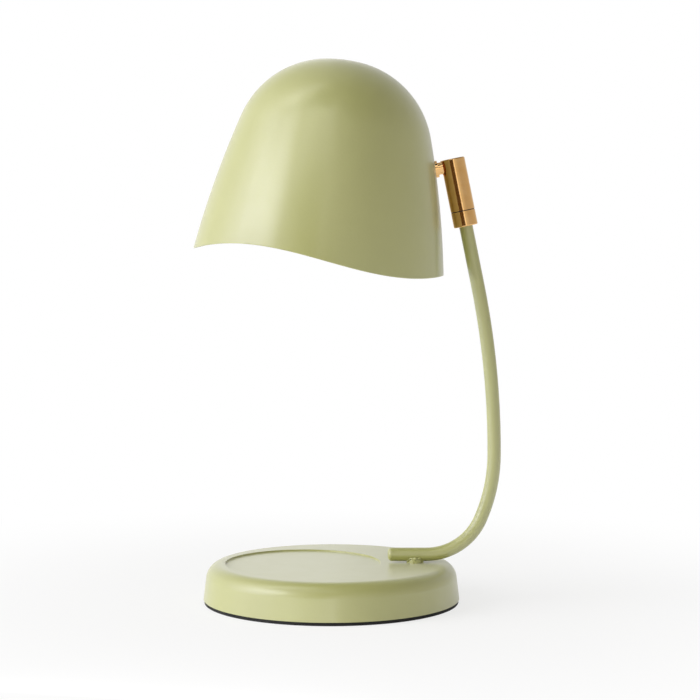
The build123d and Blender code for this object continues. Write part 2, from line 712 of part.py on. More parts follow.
with BuildPart() as shade_shell:
    dome(0)
    dome(shade_wall, Mode.SUBTRACT)
    with BuildSketch(shade_section):
        with BuildLine():
            rim = Bezier(
                (-rim_span, rim_far_height),
                (-rim_span / 3, rim_far_pull_height),
                (rim_span / 3, rim_near_pull_height),
                (rim_span, rim_near_height),
            )
            Polyline(
                rim @ 1,
                (2 * rim_span, rim_near_height),
                (2 * rim_span, -rim_span),
                (-2 * rim_span, -rim_span),
                (-2 * rim_span, rim_far_height),
                rim @ 0,
            )
        make_face()
    extrude(amount=2 * rim_span, both=True, mode=Mode.SUBTRACT)
    rod(neck_plane, shoulder_out, foot_in, M6 + seat_gap, Mode.SUBTRACT)
shade_shell.part.label = "shade_shell"
export_step(shade_shell.part, "parts/shade_shell.step")

with BuildPart() as outer_saddle:
    rod(neck_plane, shoulder_out, wall_in, saddle_radius)
    add(shade_form.part, mode=Mode.SUBTRACT)
    rod(neck_plane, shoulder_out, wall_in, M6 + screw_gap, Mode.SUBTRACT)
outer_saddle.part.label = "outer_saddle"
export_step(outer_saddle.part, "parts/outer_saddle.step")

with BuildPart() as inner_saddle:
    rod(neck_plane, wall_out, foot_out, saddle_radius)
    add(shade_hollow.part, mode=Mode.INTERSECT)
    rod(neck_plane, wall_out, foot_out, M6 + screw_gap, Mode.SUBTRACT)
inner_saddle.part.label = "inner_saddle"
export_step(inner_saddle.part, "parts/inner_saddle.step")

# Bracket: a bent strap, flat against the inner saddle, carrying the lamp holder on the axis
strap_angle = radians(lean_angle + shade_lean)
strap_out = Vector(cos(strap_angle), sin(strap_angle))
strap_up = Vector(-sin(strap_angle), cos(strap_angle))
strap_depth = foot_out - wall_out + strap_thickness / 2
strap_foot = Vector(neck_wall_radius, neck_on_shade) - strap_out * strap_depth
strap_rise = (strap_level - strap_foot.Y) / strap_up.Y
strap_end = holder_screw_spacing / 2 + M3_head + strap_margin

with BuildPart() as holder_bracket:
    with BuildSketch(shade_section):
        with BuildLine() as strap_line:
            FilletPolyline(
                strap_foot - strap_up * strap_foot_tail,
                strap_foot + strap_up * strap_rise,
                (-strap_end, strap_level),
                radius=strap_bend,
            )
        trace(strap_line.line, line_width=strap_thickness)
    extrude(amount=strap_width / 2, both=True)
    rod(neck_plane, wall_out, 2 * foot_in, M6 + screw_gap, Mode.SUBTRACT)
    for x in (-holder_screw_spacing / 2, holder_screw_spacing / 2):
        hole = at(shade_plane, x, 0)
        rod(hole, holder_top - over_cut, strap_level + over_cut, M3 + slip_gap, Mode.SUBTRACT)
holder_bracket.part.label = "holder_bracket"
export_step(holder_bracket.part, "parts/holder_bracket.step")

with BuildPart() as pivot_lock_washer:
    rod(neck_plane, foot_in, nut_seat, saddle_radius)
    rod(neck_plane, foot_in, nut_seat, M6 + screw_gap, Mode.SUBTRACT)
pivot_lock_washer.part.label = "pivot_lock_washer"
export_step(pivot_lock_washer.part, "parts/pivot_lock_washer.step")

with BuildPart() as pivot_nut:
    hex_nut(neck_plane, nut_seat, M6_thin_nut, M6_flats, M6 + screw_gap)
pivot_nut.part.label = "pivot_nut"
export_step(pivot_nut.part, "parts/pivot_nut.step")

# ---------------------------------------------------------------- lamp holder and bulb

pin_chamber = pin_head + pin_play
slot_neck_width = 2 * (pin_neck_radius + slot_clearance)
slot_head_width = 2 * (pin_head_radius + slot_clearance)
holder_seat = strap_level + strap_thickness / 2
holder_inlet = holder_top - holder_inlet_drop

slot_arcs = [CenterArc((0, 0), pin_distance, start, twist_angle) for start in (90, 270)]

with BuildPart() as lamp_holder:
    rod(shade_plane, holder_face, holder_top, holder_radius)
    fillet(lamp_holder.edges(), holder_edge)
    with BuildSketch(shade_plane.offset(holder_face)):
        for arc in slot_arcs:
            SlotArc(arc, slot_neck_width)
        with Locations(*[arc @ 1 for arc in slot_arcs]):
            Circle(pin_head_radius + slot_clearance)
    extrude(amount=slot_face, mode=Mode.SUBTRACT)
    with BuildSketch(shade_plane.offset(holder_face + slot_face)):
        for arc in slot_arcs:
            SlotArc(arc, slot_head_width)
    extrude(amount=pin_chamber, mode=Mode.SUBTRACT)
    for x in (-holder_screw_spacing / 2, holder_screw_spacing / 2):
        spot = at(shade_plane, x, 0)
        rod(spot, holder_seat - holder_screw_length, holder_top, M3 + screw_gap, Mode.SUBTRACT)
lamp_holder.part.label = "lamp_holder"
export_step(lamp_holder.part, "parts/lamp_holder.step")

with BuildPart() as holder_screws:
    for x in (-holder_screw_spacing / 2, holder_screw_spacing / 2):
        spot = at(shade_plane, x, 0)
        down = Plane(origin=spot.origin, x_dir=spot.x_dir, z_dir=-spot.z_dir)
        pan_head_screw(down, -holder_seat, holder_screw_length, M3, M3_head, M3_head_height)
holder_screws.part.label = "holder_screws"
export_step(holder_screws.part, "parts/holder_screws.step")

# The leads leave the nipple, drop clear of its nut and turn up to the holder's side
lead_out = Vector(neck_wall_radius, neck_on_shade) - strap_out * (neck_start + lead_tight_bend - wall_out)
lead_clear = Vector(neck_wall_radius, neck_on_shade) - strap_out * (neck_end - wall_out + lead_stand_off)
lead_rise = Vector(holder_radius + lead_side, holder_inlet)

with BuildPart() as shade_lead:
    with BuildLine(shade_section) as shade_lead_path:
        FilletPolyline(
            (lead_out.X, lead_out.Y),
            (lead_clear.X, lead_clear.Y),
            (lead_rise.X, lead_rise.Y),
            (holder_radius, holder_inlet),
            radius=[lead_bend, lead_bend],
        )
    with BuildSketch(Plane(origin=shade_lead_path.line @ 0, z_dir=shade_lead_path.line % 0)):
        Circle(lead_radius)
    sweep(path=shade_lead_path.line)
shade_lead.part.label = "shade_lead"
export_step(shade_lead.part, "parts/shade_lead.step")

bulb_neck = bulb_top - bulb_base_height

with BuildPart() as bulb_base:
    rod(shade_plane, bulb_neck, bulb_top, bulb_base_radius)
    chamfer(bulb_base.edges().group_by(Axis(shade_origin, shade_up))[-1], bulb_base_chamfer)
bulb_base.part.label = "bulb_base"
export_step(bulb_base.part, "parts/bulb_base.step")

pin_hook = holder_face + slot_face + slot_clearance

with BuildPart() as bulb_pins:
    for side in (-1, 1):
        spot = at(shade_plane, 0, side * pin_distance)
        rod(spot, bulb_top, pin_hook, pin_neck_radius)
        rod(spot, pin_hook, pin_hook + pin_head, pin_head_radius)
bulb_pins.part.label = "bulb_pins"
export_step(bulb_pins.part, "parts/bulb_pins.step")

reflector_inner = bulb_radius - glass_wall
lens_back = bulb_face + lens_thickness
bowl_floor = bulb_neck - 2 * glass_wall

with BuildPart() as bulb_reflector:
    with BuildSketch(shade_section):
        with BuildLine():
            Polyline((0, bulb_neck), (bulb_base_radius, bulb_neck))
            bowl = ThreePointArc(
                (bulb_base_radius, bulb_neck),
                (bowl_radius, bulb_face + bowl_height),
                (bulb_radius, bulb_face + bulb_lip),
            )
            Polyline(
                bowl @ 1,
                (bulb_radius, bulb_face),
                (reflector_inner, bulb_face),
                (reflector_inner, lens_back),
            )
            hollow = ThreePointArc(
                (reflector_inner, lens_back),
                (bowl_radius - glass_wall, bulb_face + bowl_height - glass_wall),
                (capsule_radius + glass_wall, bowl_floor),
            )
            Polyline(hollow @ 1, (0, bowl_floor), (0, bulb_neck))
        make_face()
    revolve(axis=shade_axis)
bulb_reflector.part.label = "bulb_reflector"
export_step(bulb_reflector.part, "parts/bulb_reflector.step")

with BuildPart() as bulb_lens:
    rod(shade_plane, bulb_face, lens_back, reflector_inner - screw_gap)
bulb_lens.part.label = "bulb_lens"
export_step(bulb_lens.part, "parts/bulb_lens.step")

with BuildPart() as bulb_capsule:
    rod(shade_plane, bowl_floor - capsule_length, bowl_floor, capsule_radius)
    fillet(bulb_capsule.edges().group_by(Axis(shade_origin, shade_up))[0], capsule_edge)
bulb_capsule.part.label = "bulb_capsule"
export_step(bulb_capsule.part, "parts/bulb_capsule.step")
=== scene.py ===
"""Candle warmer lamp: finishes, fine forms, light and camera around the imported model.

Shapes are worked out in millimetres in the lamp's own frame: +Z up, +X to the arm, +Y to the
back, origin on the floor under the centre of the base. Meshes are written in metres.
"""

import json
import math

import bpy
import numpy as np
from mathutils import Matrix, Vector


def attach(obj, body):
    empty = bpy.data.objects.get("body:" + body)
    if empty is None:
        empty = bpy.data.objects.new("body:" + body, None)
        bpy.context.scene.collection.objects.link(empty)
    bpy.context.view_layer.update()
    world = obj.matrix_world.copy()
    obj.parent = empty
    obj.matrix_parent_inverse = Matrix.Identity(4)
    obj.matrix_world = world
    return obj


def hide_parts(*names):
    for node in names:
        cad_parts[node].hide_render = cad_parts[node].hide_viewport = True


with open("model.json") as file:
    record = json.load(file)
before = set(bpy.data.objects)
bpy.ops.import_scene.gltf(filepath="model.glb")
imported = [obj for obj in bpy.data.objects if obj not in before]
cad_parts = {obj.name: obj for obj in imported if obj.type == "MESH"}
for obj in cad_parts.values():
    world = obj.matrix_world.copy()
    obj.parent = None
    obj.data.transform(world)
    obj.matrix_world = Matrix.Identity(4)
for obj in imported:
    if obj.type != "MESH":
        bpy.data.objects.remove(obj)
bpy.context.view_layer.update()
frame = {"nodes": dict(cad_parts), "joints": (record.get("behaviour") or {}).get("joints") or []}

MM = 0.001

# ---------------------------------------------------------------- sizes, millimetres and degrees

# Shade: crown, shoulder and skirt are three tangent arcs, (radius, sweep)
SHADE_HEIGHT = 117.5
SHADE_ARCS = [(88.6, 6.0), (54.8, 67.0), (548.0, 10.0)]
SHADE_WALL = 0.8
RIM_SPAN = 75.0
RIM_PULLS = (-3.15, 19.3, -13.4, 0.34)

joints = {joint["name"]: joint for joint in frame["joints"]}


def joint_place(name):
    """A joint's point in millimetres, and its axis."""
    joint = joints[name]
    return np.array(joint["pos_m"]) / MM, np.array(joint["axis"])


_, bar_up = joint_place("swivel_swing")
_, neck_axis = joint_place("shade_turn")
shade_origin, shade_up = joint_place("bulb_twist")
shade_side = np.array([shade_up[2], 0, -shade_up[0]])
back = np.array([0.0, 1.0, 0.0])


# ---------------------------------------------------------------- meshes from grids


def skin(name, points, loop=False, sharp=40.0):
    """Closed mesh of a grid of points, rows by columns, in millimetres.

    Columns wrap round. Rows wrap too on a loop, and otherwise one vertex at the row's mean
    closes the first row and the last. The column step crossed with the row step points outwards.
    """
    rows, columns, _ = points.shape
    corners = points.reshape(-1, 3)
    bands = np.arange(rows if loop else rows - 1)
    row, column = np.meshgrid(bands, np.arange(columns), indexing="ij")
    here, there, after = row * columns, (row + 1) % rows * columns, (column + 1) % columns
    faces = np.stack([here + column, here + after, there + after, there + column], axis=-1)
    faces = faces.reshape(-1, 4).tolist()
    if not loop:
        ring, last = np.arange(columns), (rows - 1) * columns
        following, pole = (ring + 1) % columns, np.full(columns, len(corners))
        corners = np.vstack([corners, points[0].mean(axis=0), points[-1].mean(axis=0)])
        faces += np.stack([following, ring, pole], axis=-1).tolist()
        faces += np.stack([last + ring, last + following, pole + 1], axis=-1).tolist()
    mesh = bpy.data.meshes.new(name)
    mesh.from_pydata((corners * MM).tolist(), [], faces)
    mesh.shade_smooth()
    mesh.set_sharp_from_angle(angle=math.radians(sharp))
    piece = bpy.data.objects.new(name, mesh)
    bpy.context.scene.collection.objects.link(piece)
    return piece


def along(legs, start, heading, distance):
    """Points and headings at distances along tangent legs, each (length, turn in radians).

    A leg's chord has length s*sin(h)/h, where h is half of what has been turned after the
    distance s, and it points along the heading at the leg's start plus h.
    """
    distance = np.asarray(distance, float)
    place = np.zeros(distance.shape + (2,)) + np.array(start)
    heading = np.full(distance.shape, float(heading))
    for length, turn in legs:
        travelled = np.clip(distance, 0, length)
        half = turn * travelled / length / 2
        chord = travelled * np.sinc(half / np.pi)
        middle = heading + half
        place += chord[..., None] * np.stack([np.cos(middle), np.sin(middle)], axis=-1)
        heading = heading + 2 * half
        distance = distance - travelled
    return place, heading


def on_shade_axis(radius, height, around):
    """Points at a radius, height and angle round the shade's axis, from its rim's mean height."""
    return (
        shade_origin
        + (radius * np.cos(around))[..., None] * shade_side
        + (radius * np.sin(around))[..., None] * back
        + (height + 0 * radius * around)[..., None] * shade_up
    )


def dress(piece, finish, body, slot, *nodes):
    """Gives a piece its finish and the body it rides on, and hides the nodes that it replaces.
    The slot is not used.
    """
    piece.data.materials.append(finish)
    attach(piece, body)
    if nodes:
        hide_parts(*nodes)


# ---------------------------------------------------------------- materials


class Finish:
    """A material under construction: its shader, and short ways to add nodes that feed it."""

    def __init__(self, name, **sockets):
        self.material = bpy.data.materials.new(name)
        self.material.use_nodes = True
        self.nodes = self.material.node_tree.nodes
        self.links = self.material.node_tree.links
        self.shader = self.nodes["Principled BSDF"]
        for socket, value in sockets.items():
            self.shader.inputs[socket.replace("_", " ")].default_value = value
        self.place = self.nodes.new("ShaderNodeTexCoord").outputs["Object"]

    def node(self, kind, settings=(), **inputs):
        """New node. Values are set on its inputs, and other nodes' outputs are linked to them."""
        made = self.nodes.new(kind)
        for name, value in settings:
            setattr(made, name, value)
        for socket, value in inputs.items():
            entry = made.inputs[socket.replace("_", " ")]
            if isinstance(value, bpy.types.NodeSocket):
                self.links.new(value, entry)
            else:
                entry.default_value = value
        return made

    def turned(self, scale=(1, 1, 1), rotation=(0, 0, 0)):
        """Object coordinates, turned in degrees and then scaled."""
        turn = tuple(math.radians(angle) for angle in rotation)
        turned = self.node("ShaderNodeMapping", Vector=self.place, Rotation=turn).outputs[0]
        return self.node("ShaderNodeMapping", Vector=turned, Scale=scale).outputs[0]

    def noise(self, size, detail=2.0, roughness=0.5, vector=None):
        """Noise with features about size millimetres across, or size units of a given vector."""
        scale = 1 / (size * MM) if vector is None else 1 / size
        made = self.node(
            "ShaderNodeTexNoise",
            Vector=vector or self.place,
            Scale=scale,
            Detail=detail,
            Roughness=roughness,
        )
        return made.outputs["Fac"]

    def cells(self, per_metre, settings=(), **inputs):
        """Distance to the middle of the nearest of so many cells to a metre."""
        made = self.node(
            "ShaderNodeTexVoronoi", settings, Vector=self.place, Scale=per_metre, **inputs
        )
        return made.outputs["Distance"]

    def spread(self, value, low, high, source=(0.3, 0.7)):
        """A value stretched from the source range to low and high."""
        made = self.node("ShaderNodeMapRange", Value=value, To_Min=low, To_Max=high)
        made.inputs["From Min"].default_value, made.inputs["From Max"].default_value = source
        return made.outputs[0]

    def blend(self, share, first, second):
        """Two colours mixed by a share."""
        made = self.nodes.new("ShaderNodeMix")
        made.data_type = "RGBA"
        self.links.new(share, made.inputs["Factor"])
        for entry, value in zip((made.inputs[6], made.inputs[7]), (first, second)):
            if isinstance(value, bpy.types.NodeSocket):
                self.links.new(value, entry)
            else:
                entry.default_value = (*value, 1.0)
        return made.outputs[2]

    def feed(self, **sockets):
        """Links outputs to the shader's sockets."""
        for socket, value in sockets.items():
            self.links.new(value, self.shader.inputs[socket.replace("_", " ")])

    def relief(self, *layers):
        """Bumps in layers of (height, depth in millimetres)."""
        normal = None
        for height, depth in layers:
            made = self.node("ShaderNodeBump", Strength=1.0, Distance=depth * MM, Height=height)
            if normal is not None:
                self.links.new(normal, made.inputs["Normal"])
            normal = made.outputs["Normal"]
        self.feed(Normal=normal)


def powder_coat():
    """Pale sage satin powder coat: slow drift of the green, fine orange peel and grain."""
    finish = Finish(
        "sage_powder_coat",
        IOR=1.85,
        Specular_IOR_Level=1.0,
        Coat_Weight=0.55,
        Coat_Roughness=0.18,
        Sheen_Weight=0.35,
        Sheen_Roughness=0.45,
    )
    drift = finish.spread(finish.noise(70, detail=3), 0, 1)
    grain = finish.spread(finish.noise(0.35, detail=2), 0, 1)
    green = finish.blend(drift, (0.374, 0.382, 0.082), (0.394, 0.398, 0.089))
    pale = finish.spread(grain, 0, 0.16, (0, 1))
    finish.feed(Base_Color=finish.blend(pale, green, (0.475, 0.475, 0.148)))
    finish.feed(Roughness=finish.spread(finish.noise(9, detail=3), 0.42, 0.49))
    finish.relief((finish.noise(1.6, detail=1), 0.035), (finish.noise(0.3, detail=1), 0.006))
    return finish.material


def brass(name, lean):
    """Polished brass, turned on a lathe: fine rings across its axis, and a slow tarnish.

    The axis leans by so many degrees from upright towards the arm's side.
    """
    finish = Finish(name, Metallic=1.0, Specular_IOR_Level=0.5)
    lathe = finish.turned(scale=(40, 40, 9000), rotation=(0, -lean, 0))
    rings = finish.noise(1.0, detail=3, vector=lathe)
    tarnish = finish.spread(finish.noise(6, detail=4), 0, 1)
    finish.feed(Base_Color=finish.blend(tarnish, (0.84, 0.53, 0.24), (0.78, 0.46, 0.18)))
    finish.feed(Roughness=finish.spread(rings, 0.08, 0.17))
    finish.relief((rings, 0.0012))
    return finish.material


def plated_steel():
    """Bright zinc plate: grey with soft clouds, and short polishing lines."""
    finish = Finish("zinc_plate", Metallic=1.0)
    clouds = finish.spread(finish.noise(5, detail=4), 0, 1)
    lines = finish.noise(1.0, detail=2, vector=finish.turned(scale=(300, 5000, 300)))
    finish.feed(Base_Color=finish.blend(clouds, (0.60, 0.61, 0.62), (0.50, 0.51, 0.53)))
    finish.feed(Roughness=finish.spread(lines, 0.26, 0.42))
    finish.relief((lines, 0.002))
    return finish.material


def cast_iron():
    """Sand-cast iron, dark and grainy."""
    finish = Finish("cast_iron", Metallic=0.6)
    grains = finish.noise(1.2, detail=4, roughness=0.6)
    tint = finish.spread(grains, 0, 1)
    finish.feed(Base_Color=finish.blend(tint, (0.045, 0.046, 0.05), (0.10, 0.10, 0.105)))
    finish.feed(Roughness=finish.spread(grains, 0.55, 0.8))
    finish.relief((grains, 0.25))
    return finish.material


def black_rubber():
    """Closed-cell rubber: near black, dull, with fine pores and a dusty bloom."""
    finish = Finish("black_rubber", Specular_IOR_Level=0.3)
    pores = finish.cells(1400.0)
    bloom = finish.spread(finish.noise(12, detail=4), 0, 1)
    finish.feed(Base_Color=finish.blend(bloom, (0.010, 0.010, 0.011), (0.024, 0.024, 0.023)))
    finish.feed(Roughness=finish.spread(pores, 0.72, 0.9, (0, 1)))
    finish.relief((pores, 0.05))
    return finish.material


def nylon():
    """Black nylon, faintly grained."""
    finish = Finish("black_nylon", Specular_IOR_Level=0.45)
    grain = finish.noise(0.8, detail=3)
    tint = finish.spread(grain, 0, 1)
    finish.feed(Base_Color=finish.blend(tint, (0.016, 0.016, 0.017), (0.030, 0.029, 0.028)))
    finish.feed(Roughness=finish.spread(grain, 0.42, 0.55))
    finish.relief((grain, 0.02))
    return finish.material


def braided_sleeve():
    """Glass-fibre braid: two crossing sets of yarns as slanted bands, off-white."""
    finish = Finish("braided_sleeve", Sheen_Weight=0.2, Sheen_Roughness=0.5)
    yarns = []
    for slant in (38, -38):
        bands = finish.node(
            "ShaderNodeTexWave",
            [("wave_profile", "SIN")],
            Vector=finish.turned(rotation=(slant, 0, slant)),
            Scale=330.0,
            Distortion=0.6,
        )
        yarns.append(bands.outputs["Fac"])
    weave = finish.node("ShaderNodeMath", [("operation", "MAXIMUM")]).outputs[0]
    finish.links.new(yarns[0], weave.node.inputs[0])
    finish.links.new(yarns[1], weave.node.inputs[1])
    finish.feed(Base_Color=finish.blend(weave, (0.42, 0.40, 0.35), (0.80, 0.79, 0.74)))
    finish.feed(Roughness=finish.spread(weave, 0.85, 0.6, (0, 1)))
    finish.relief((weave, 0.12))
    return finish.material


def glazed_ceramic():
    """Glazed steatite: glossy warm white with faint pooling in the glaze."""
    finish = Finish("glazed_ceramic", Coat_Weight=0.6, Coat_Roughness=0.06)
    pooling = finish.noise(4, detail=3)
    tint = finish.spread(pooling, 0, 1)
    finish.feed(Base_Color=finish.blend(tint, (0.74, 0.72, 0.65), (0.80, 0.79, 0.74)))
    finish.feed(Roughness=finish.spread(pooling, 0.22, 0.34))
    finish.relief((pooling, 0.06))
    return finish.material


def nickel():
    """Nickel-plated contacts, worn a little by the holder."""
    finish = Finish("nickel", Metallic=1.0)
    wear = finish.noise(0.7, detail=4)
    tint = finish.spread(wear, 0, 1)
    finish.feed(Base_Color=finish.blend(tint, (0.66, 0.64, 0.60), (0.55, 0.52, 0.47)))
    finish.feed(Roughness=finish.spread(wear, 0.18, 0.36))
    return finish.material


def silvered_glass():
    """Metallised glass of the bulb's bowl, with small hammered facets."""
    finish = Finish("silvered_glass", Metallic=1.0)
    facets = finish.cells(320.0, [("feature", "SMOOTH_F1")], Smoothness=0.3)
    haze = finish.noise(8, detail=3)
    tint = finish.spread(haze, 0, 1)
    finish.feed(Base_Color=finish.blend(tint, (0.86, 0.86, 0.87), (0.78, 0.79, 0.82)))
    finish.feed(Roughness=finish.spread(haze, 0.08, 0.16))
    finish.relief((facets, 0.25))
    return finish.material


def clear_glass():
    """Pressed clear glass with a pebbled surface."""
    finish = Finish("pressed_glass", Transmission_Weight=1.0, IOR=1.47)
    pebbles = finish.cells(420.0)
    tint = finish.spread(finish.noise(10), 0, 1)
    finish.feed(Base_Color=finish.blend(tint, (0.95, 0.97, 0.97), (0.98, 0.99, 0.98)))
    finish.feed(Roughness=finish.spread(pebbles, 0.03, 0.10, (0, 1)))
    finish.relief((pebbles, 0.12))
    return finish.material


def frosted_glass():
    """Frosted quartz of the capsule inside the bulb."""
    finish = Finish("frosted_glass", Transmission_Weight=0.7, IOR=1.46)
    frost = finish.noise(0.5, detail=2)
    tint = finish.spread(frost, 0, 1)
    finish.feed(Base_Color=finish.blend(tint, (0.86, 0.87, 0.88), (0.94, 0.94, 0.93)))
    finish.feed(Roughness=finish.spread(frost, 0.35, 0.55))
    finish.relief((frost, 0.01))
    return finish.material


BAR_LEAN = math.degrees(math.atan2(bar_up[0], bar_up[2]))
NECK_LEAN = math.degrees(math.atan2(neck_axis[0], neck_axis[2]))

paint = powder_coat()
bar_brass = brass("turned_brass_bar", BAR_LEAN)
neck_brass = brass("turned_brass_neck", NECK_LEAN)
zinc = plated_steel()
iron = cast_iron()
rubber = black_rubber()
plastic = nylon()
sleeve = braided_sleeve()
ceramic = glazed_ceramic()
contacts = nickel()
mirror = silvered_glass()
lens_glass = clear_glass()
capsule_glass = frosted_glass()

NODE_FINISHES = {
    paint: ("base_shell", "arm_tube", "arm_end_plug", "arm_stud", "shade_shell"),
    bar_brass: (
        "arm_collar", "arm_grub_screw", "swivel_bar", "retaining_screw", "pivot_screw",
        "terminal_inserts",
    ),
    neck_brass: ("pivot_nipple", "outer_saddle"),
    zinc: (
        "bottom_plate", "bottom_screws", "weight_screws", "terminal_screws", "fixture_screws",
        "arm_washer", "arm_nut", "inner_saddle", "holder_bracket", "pivot_lock_washer",
        "pivot_nut", "holder_screws",
    ),
    iron: ("counterweight",),
    rubber: ("foot_pad",),
    plastic: ("cord_grommet", "cord_clamp", "terminal_block", "swivel_washer"),
    sleeve: ("arm_lead", "swivel_lead", "shade_lead"),
    ceramic: ("lamp_holder", "bulb_base"),
    contacts: ("bulb_pins",),
    mirror: ("bulb_reflector",),
    lens_glass: ("bulb_lens",),
    capsule_glass: ("bulb_capsule",),
}

for finish, names in NODE_FINISHES.items():
    for name in names:
        for entry in frame["nodes"][name].material_slots:
            entry.material = finish


# ---------------------------------------------------------------- shade

SHADE_COLUMNS = 288
SHADE_ROWS = 84         # down each wall
ROW_CROWDING = 1.15     # how much closer the rows lie at the crown
CROWN_HOLE = 0.004      # first row, as a share of the way, before the middle vertex
EDGE_STEPS = 8          # round the rim's edge
HALVINGS = 40           # steps that find where the profile meets the rim


def shade_piece():
    """The spun dome with its wavy rim and a rounded edge.

    A point is the profile's point at a share f of the way from the crown to the rim, moved
    along the wall's normal. The way to the rim differs with the angle round the axis: it ends
    where the profile meets the rim's height, a cubic curve of the distance towards the arm.
    """
    around = np.linspace(0, 2 * np.pi, SHADE_COLUMNS, endpoint=False)
    legs = [(radius * math.radians(sweep), -math.radians(sweep)) for radius, sweep in SHADE_ARCS]
    start = (0.0, SHADE_HEIGHT)

    low = np.zeros(SHADE_COLUMNS)
    high = np.full(SHADE_COLUMNS, sum(length for length, _ in legs))
    for _ in range(HALVINGS):
        middle = (low + high) / 2
        place, _ = along(legs, start, 0.0, middle)
        share = (place[:, 0] * np.cos(around) + RIM_SPAN) / (2 * RIM_SPAN)
        pulls = zip(RIM_PULLS, (1, 3, 3, 1), range(4))
        rim = sum(
            pull * times * (1 - share) ** (3 - power) * share**power
            for pull, times, power in pulls
        )
        above = place[:, 1] > rim
        low, high = np.where(above, middle, low), np.where(above, high, middle)
    half_wall = SHADE_WALL / 2
    edge = low - half_wall

    down = np.sin(np.linspace(CROWN_HOLE, 1, SHADE_ROWS) * np.pi / 2) ** ROW_CROWDING
    turn = np.linspace(0, np.pi, EDGE_STEPS + 1)[1:-1]
    shares = np.concatenate([down, np.ones(len(turn)), down[::-1]])
    outside, inside = np.zeros(SHADE_ROWS), np.full(SHADE_ROWS, SHADE_WALL)
    inward = np.concatenate([outside, half_wall * (1 - np.cos(turn)), inside])
    past = np.concatenate([outside, half_wall * np.sin(turn), outside])
    place, heading = along(legs, start, 0.0, shares[:, None] * edge[None, :])
    radius = place[..., 0] + inward[:, None] * np.sin(heading) + past[:, None] * np.cos(heading)
    height = place[..., 1] - inward[:, None] * np.cos(heading) + past[:, None] * np.sin(heading)
    return skin("shade", on_shade_axis(radius, height, around)[:, ::-1])


dress(shade_piece(), paint, "shade", "powder_coat", "shade_shell")

# ---------------------------------------------------------------- bulb

BULB_FACE = 18.7
BULB_NECK = 50.7
BULB_RADIUS = 25.0
BULB_LIP = 3.0
BULB_NECK_RADIUS = 10.0
BOWL_RADIUS, BOWL_HEIGHT = 19.5, 18.5
GLASS_WALL = 1.5
GLASS_GAP = 0.1
LENS_THICKNESS = 2.0
CAPSULE_RADIUS = 4.5

BULB_COLUMNS = 288
OUTER_ROWS, LIP_ROWS, INNER_ROWS = 40, 9, 73
PETALS = 24
FLUTE_DEPTH, PETAL_DEPTH, STEP_DEPTH = 0.35, 0.55, 0.35
STEP_COUNT = 9

FRONT_ROWS, BACK_ROWS = 72, 8
FRONT_HOLE, BACK_HOLE = 0.004, 0.01     # innermost rows, as shares of the disc's radius
FRONT_RECESS, BACK_RECESS = 0.15, 0.02  # how far the disc stays inside its place
PEBBLE_PITCH, PEBBLE_HEIGHT = 2.6, 0.4
PEBBLE_FADE = 0.12                      # share of the radius over which they fade out


def through(points, share):
    """The parabola through three points, at shares of its way; the middle one is at its half."""
    first, middle, last = (np.array(point, float) for point in points)
    share = np.asarray(share)[:, None]
    return (
        first * (1 - share) * (1 - 2 * share)
        + middle * 4 * share * (1 - share)
        + last * share * (2 * share - 1)
    )


def bulb_bowl():
    """The bulb's glass bowl: a fluted outside, a rounded lip and petals with steps inside.

    The outside's radius dips by half a wave of cos(24 a), which gives the flutes. The inside's
    dips by one less the absolute value of cos(12 a), which gives the petals, and by the absolute
    value of sin(9 pi s) along the way s from lip to floor, which gives the steps. All three dips
    fade out at the ends of the way.
    """
    around = np.linspace(0, 2 * np.pi, BULB_COLUMNS, endpoint=False)
    way = np.linspace(0, 1, OUTER_ROWS)
    outer = through(
        [
            (BULB_NECK_RADIUS, BULB_NECK),
            (BOWL_RADIUS, BULB_FACE + BOWL_HEIGHT),
            (BULB_RADIUS, BULB_FACE + BULB_LIP),
        ],
        way,
    )
    turn = np.linspace(0, np.pi, LIP_ROWS)
    half = GLASS_WALL / 2
    lip_radius = BULB_RADIUS - half + half * np.cos(turn)
    lip = np.stack([lip_radius, BULB_FACE + half - half * np.sin(turn)], axis=-1)
    inside = np.linspace(0, 1, INNER_ROWS)
    inner = through(
        [
            (BULB_RADIUS - GLASS_WALL, BULB_FACE + LENS_THICKNESS),
            (BOWL_RADIUS - GLASS_WALL, BULB_FACE + BOWL_HEIGHT - GLASS_WALL),
            (CAPSULE_RADIUS + GLASS_WALL, BULB_NECK - 2 * GLASS_WALL),
        ],
        inside,
    )
    profile = np.concatenate([outer, lip, inner])
    outside_only, inside_only = np.zeros(LIP_ROWS + INNER_ROWS), np.zeros(OUTER_ROWS + LIP_ROWS)
    wave = np.abs(np.sin(STEP_COUNT * np.pi * inside))
    flutes = np.concatenate([FLUTE_DEPTH * np.sin(np.pi * way), outside_only])
    petals = np.concatenate([inside_only, np.sin(np.pi * inside) ** 0.5])
    steps = np.concatenate([inside_only, STEP_DEPTH * wave * np.sin(np.pi * inside)])
    radius = profile[:, :1] - flutes[:, None] * (0.5 - 0.5 * np.cos(PETALS * around))
    dips = PETAL_DEPTH * (1 - np.abs(np.cos(PETALS / 2 * around)))
    radius = radius - petals[:, None] * dips - steps[:, None]
    points = on_shade_axis(radius, profile[:, 1:], around)
    return skin("bulb_bowl", points[:, ::-1], sharp=25.0)


